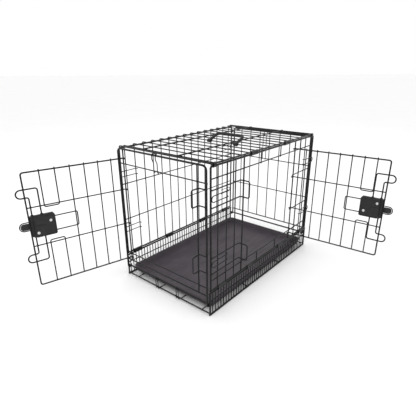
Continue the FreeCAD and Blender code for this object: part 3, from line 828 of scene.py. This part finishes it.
def latch_cover(latch):
    """The outer housing: a raised panel, two lines, a ribbed grip and collars round the bolts."""
    low, high = latch.cover
    half_s, half_w = latch.half_s, latch.half_w
    face = high.y - GRIP_HEIGHT
    shape = bmesh.new()
    slab(shape, latch.at, (-half_s, half_s), (-half_w, half_w), (low.y, face), 5 * MM, 1.6 * MM)
    panel_s, panel_w = half_s - PANEL_MARGIN, half_w - PANEL_MARGIN
    slab(shape, latch.at, (-panel_s, panel_s), (-panel_w, panel_w),
         (face - 0.6 * MM, face + 0.5 * MM), 3.4 * MM, 0.45 * MM)
    for w in LINE_W:
        slab(shape, latch.at, LINE_S, (w, w + LINE_WIDTH), (face, face + 1.4 * MM),
             0.55 * MM, 0.4 * MM)
    slab(shape, latch.at, GRIP_S, GRIP_W, (face - 0.5 * MM, high.y - 0.7 * MM), 5.8 * MM, 1.8 * MM)
    for k in range(GRIP_RIBS):
        s = GRIP_RIB_START + GRIP_RIB_PITCH * k
        slab(shape, latch.at, (s, s + GRIP_RIB_WIDTH), GRIP_RIB_W, (high.y - 1.4 * MM, high.y),
             0.7 * MM, 0.5 * MM)
    for b_low, b_high in latch.wires("_bolt_wires"):
        if b_high.z - b_low.z < LEAST_BOLT_WIDTH:
            continue
        wire = (b_high.y - b_low.y) / 2
        n = (b_low.y + b_high.y) / 2
        above = (b_low.z + b_high.z) / 2 > latch.z
        z = high.z if above else low.z
        up = Vector((0, 0, 1.0 if above else -1.0))
        profile = [(wire + gap * MM, height * MM) for gap, height in COLLAR]
        for s in BOLT_LEGS:
            lathe(shape, latch.door.at(latch.u + s, n, z), up, profile, 20)
    latch.finish(shape, "_moulded_cover", "black_plastic", "_cover")


RIM_MARGIN = 2.6 * MM
RIM_WIDTH = 1.1 * MM
RIM_N = (-0.7 * MM, 0.4 * MM)  # spans along n on the back plate start from its back face
SPINE_W = (-4.2 * MM, 4.2 * MM)
SPINE_N = (-1.2 * MM, 0.4 * MM)
RIDGE_W = (-1.3 * MM, 1.3 * MM)
RIDGE_N = (-2.0 * MM, 0.0)


def latch_back(latch):
    """The back plate, with a rim, a spine and a ridge along the slide."""
    low, high = latch.plate
    s_low, s_high = low.x - latch.u, high.x - latch.u
    half_w = latch.half_w

    def behind(span):
        return low.y + span[0], low.y + span[1]

    shape = bmesh.new()
    slab(shape, latch.at, (s_low, s_high), (-half_w, half_w), (low.y, high.y), 4.6 * MM, 0.8 * MM)
    rim_s = (s_low + RIM_MARGIN, s_high - RIM_MARGIN)
    rim_w = (-half_w + RIM_MARGIN, half_w - RIM_MARGIN)
    for w in (rim_w[0], rim_w[1] - RIM_WIDTH):
        slab(shape, latch.at, rim_s, (w, w + RIM_WIDTH), behind(RIM_N), 0.5 * MM, 0.3 * MM)
    for s in (rim_s[0], rim_s[1] - RIM_WIDTH):
        slab(shape, latch.at, (s, s + RIM_WIDTH), rim_w, behind(RIM_N), 0.5 * MM, 0.3 * MM)
    slab(shape, latch.at, (-3.0 * MM, s_high - 0.8 * MM), SPINE_W, behind(SPINE_N),
         3.9 * MM, 0.8 * MM)
    slab(shape, latch.at, (1.4 * MM, s_high - 4.0 * MM), RIDGE_W, behind(RIDGE_N),
         1.2 * MM, 0.6 * MM)
    latch.finish(shape, "_moulded_back", "black_plastic", "_back_plate")


RIVET_HEAD = 1.3 * MM
RIVET_DOME = 1.5 * MM
SHANK_R = 2.2 * MM
SHANK_SPARE = 2 * MM          # how far a shank stops short of its CAD rivet's end
# The section of the ring stamped on a rivet's head, in mm: (radius, height along the rivet).
STAMP = ((1.0, -0.35), (1.5, -0.3), (1.5, 0.6), (1.0, 0.6))


def latch_rivets(latch):
    shape = bmesh.new()
    inward = latch.door.n
    for low, high in latch.wires("_rivets"):
        centre = (low + high) / 2

        def on_axis(n):
            return latch.door.at(centre.x, n, centre.z)

        foot = on_axis(low.y + RIVET_HEAD)
        dome(shape, foot, -inward, (high.x - low.x) / 2, RIVET_DOME, 28, 7)
        shank = [on_axis(low.y + RIVET_HEAD - 0.1 * MM), on_axis(high.y - SHANK_SPARE)]
        sweep(shape, shank, lambda t: SHANK_R)
        stamp = [(radius * MM, height * MM) for radius, height in STAMP]
        lathe(shape, foot - inward * RIVET_HEAD, inward, stamp, 20)
    latch.finish(shape, "_domed_rivets", "rivet_steel", "_rivets")


TONGUE_TAIL = 2 * MM          # how much further than its CAD block the tongue goes into the cover
TONGUE_RIBS = 3
TONGUE_RIB_START = 6.0 * MM
TONGUE_RIB_PITCH = 3.6 * MM
TONGUE_RIB_WIDTH = 1.4 * MM
TONGUE_RIB_HEIGHT = 1.1 * MM
TONGUE_RIB_MARGIN = 3.6 * MM


def latch_tongue(latch):
    """The rounded thumb tongue, ribbed on both faces."""
    low, high = latch.tongue
    w_low, w_high = sorted(latch.flip * (z - latch.z) for z in (low.z, high.z))
    s_low, s_high = low.x - latch.u, high.x - latch.u
    shape = bmesh.new()
    slab(shape, latch.at, (s_low - TONGUE_TAIL, s_high), (w_low, w_high), (low.y, high.y),
         8.0 * MM, 1.3 * MM)
    rib_w = (w_low + TONGUE_RIB_MARGIN, w_high - TONGUE_RIB_MARGIN)
    for k in range(TONGUE_RIBS):
        s = s_low + TONGUE_RIB_START + TONGUE_RIB_PITCH * k
        for n in (low.y - 0.5 * MM, high.y - 0.6 * MM):
            slab(shape, latch.at, (s, s + TONGUE_RIB_WIDTH), rib_w, (n, n + TONGUE_RIB_HEIGHT),
                 0.65 * MM, 0.35 * MM)
    latch.finish(shape, "_moulded_tongue", "black_plastic", "_tongue")


def build_doors():
    front = DoorSpace("front_door_hinge", Vector((1, 0, 0)), Vector((0, -1, 0)))
    side = DoorSpace("side_door_hinge", Vector((0, -1, 0)), Vector((1, 0, 0)))
    for name, door in (("front", front), ("side", side)):
        door_wires(name + "_door", door)
        latch = LatchSpace(name + "_latch", door)
        latch_cover(latch)
        latch_back(latch)
        latch_rivets(latch)
        latch_tongue(latch)


# ---- studio ----
FLOOR_SIZE = 60.0
LIGHT_TARGET = Vector((0.0, 0.0, 0.2))
# name, place, size in metres, power in watts
LIGHTS = (("key", Vector((0.9, -1.6, 2.4)), 1.6, 16.0),
          ("fill", Vector((-2.2, -1.0, 1.6)), 1.8, 8.0),
          ("rim", Vector((0.4, 2.4, 1.9)), 1.4, 4.0))


def area_light(name, place, size, power):
    data = bpy.data.lights.new(name, "AREA")
    data.shape = "DISK"
    data.size = size
    data.energy = power
    lamp = bpy.data.objects.new(name, data)
    lamp.location = place
    lamp.rotation_euler = (LIGHT_TARGET - place).to_track_quat("-Z", "Y").to_euler()
    bpy.context.scene.collection.objects.link(lamp)


def build_studio():
    shape = bmesh.new()
    bmesh.ops.create_grid(shape, x_segments=2, y_segments=2, size=FLOOR_SIZE)
    mesh = bpy.data.meshes.new("studio_floor")
    shape.to_mesh(mesh)
    shape.free()
    mesh.materials.append(studio_floor())
    floor = bpy.data.objects.new("studio_floor", mesh)
    bpy.context.scene.collection.objects.link(floor)
    world = bpy.data.worlds.new("studio")
    world.use_nodes = True
    background = world.node_tree.nodes["Background"]
    background.inputs["Color"].default_value = (1.0, 1.0, 1.0, 1.0)
    background.inputs["Strength"].default_value = 1.0
    bpy.context.scene.world = world
    for light in LIGHTS:
        area_light(*light)


build_camera()
coat_cad_nodes()
build_sleeves()
build_welds()
build_pan()
build_handle()
build_doors()
build_studio()
